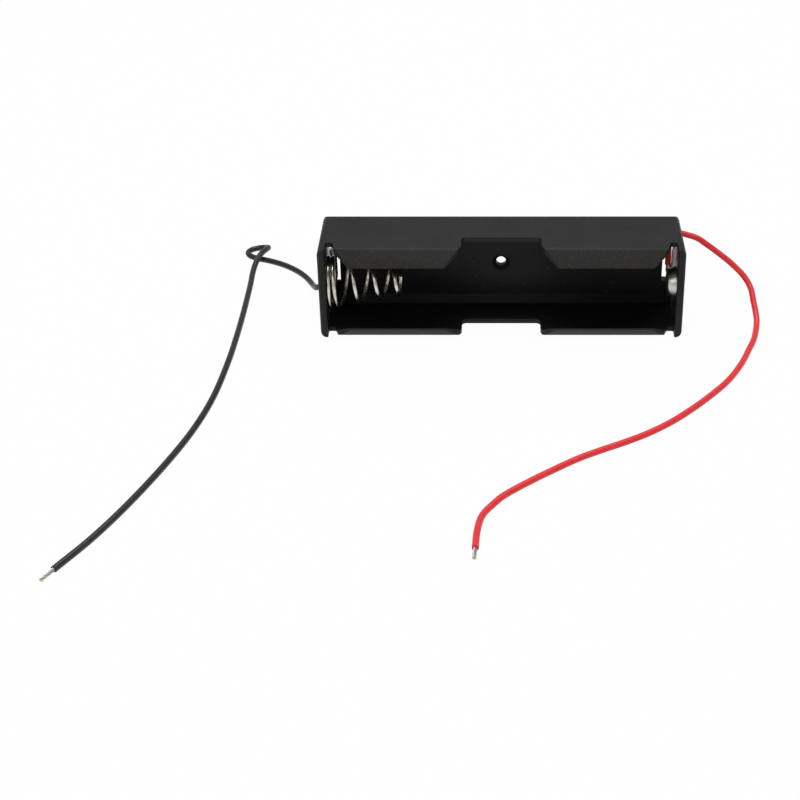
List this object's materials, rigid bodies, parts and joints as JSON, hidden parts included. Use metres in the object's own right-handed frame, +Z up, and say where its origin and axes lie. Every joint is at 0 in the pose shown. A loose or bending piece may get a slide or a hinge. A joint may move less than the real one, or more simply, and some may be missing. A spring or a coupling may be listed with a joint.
{
  "type": "cylindrical cell holder",
  "caption": "Open moulded holder for one cylindrical lithium cell, with snap lips, a conical contact spring, a domed contact plate, a screw hole and a red and a black wire lead.",
  "frame": {"origin": "middle of the underside of the housing's box as it stands on its long side wall", "axes": "+X along the cell from the spring to the domed contact, +Y from the mouth to the mounting base, +Z up across the cell"},
  "size_m": [0.1358, 0.1306, 0.0207],
  "materials": {
    "housing_plastic": "moulded matte black plastic",
    "plated_steel": "nickel-plated sheet steel",
    "spring_steel": "nickel-plated spring wire",
    "black_insulation": "soft black wire insulation",
    "red_insulation": "soft red wire insulation",
    "tinned_strand": "tinned copper strands",
    "solder": "smooth solder"
  },
  "bodies": {
    "holder": {"housing": "housing_plastic", "negative_plate": "plated_steel", "positive_plate": "plated_steel", "black_lead": "black_insulation", "black_tip": "tinned_strand", "black_root": "tinned_strand", "black_solder": "solder", "red_lead": "red_insulation", "red_tip": "tinned_strand", "red_root": "tinned_strand", "red_solder": "solder"},
    "spring": {"negative_spring": "spring_steel"}
  },
  "joints": [
    {"name": "spring_press", "type": "slide", "parent": "holder", "child": "spring", "axis": [1, 0, 0], "range_m": [-0.0085, 0], "stiffness_N_per_m": 250, "deforming": ["negative_spring"]}
  ]
}
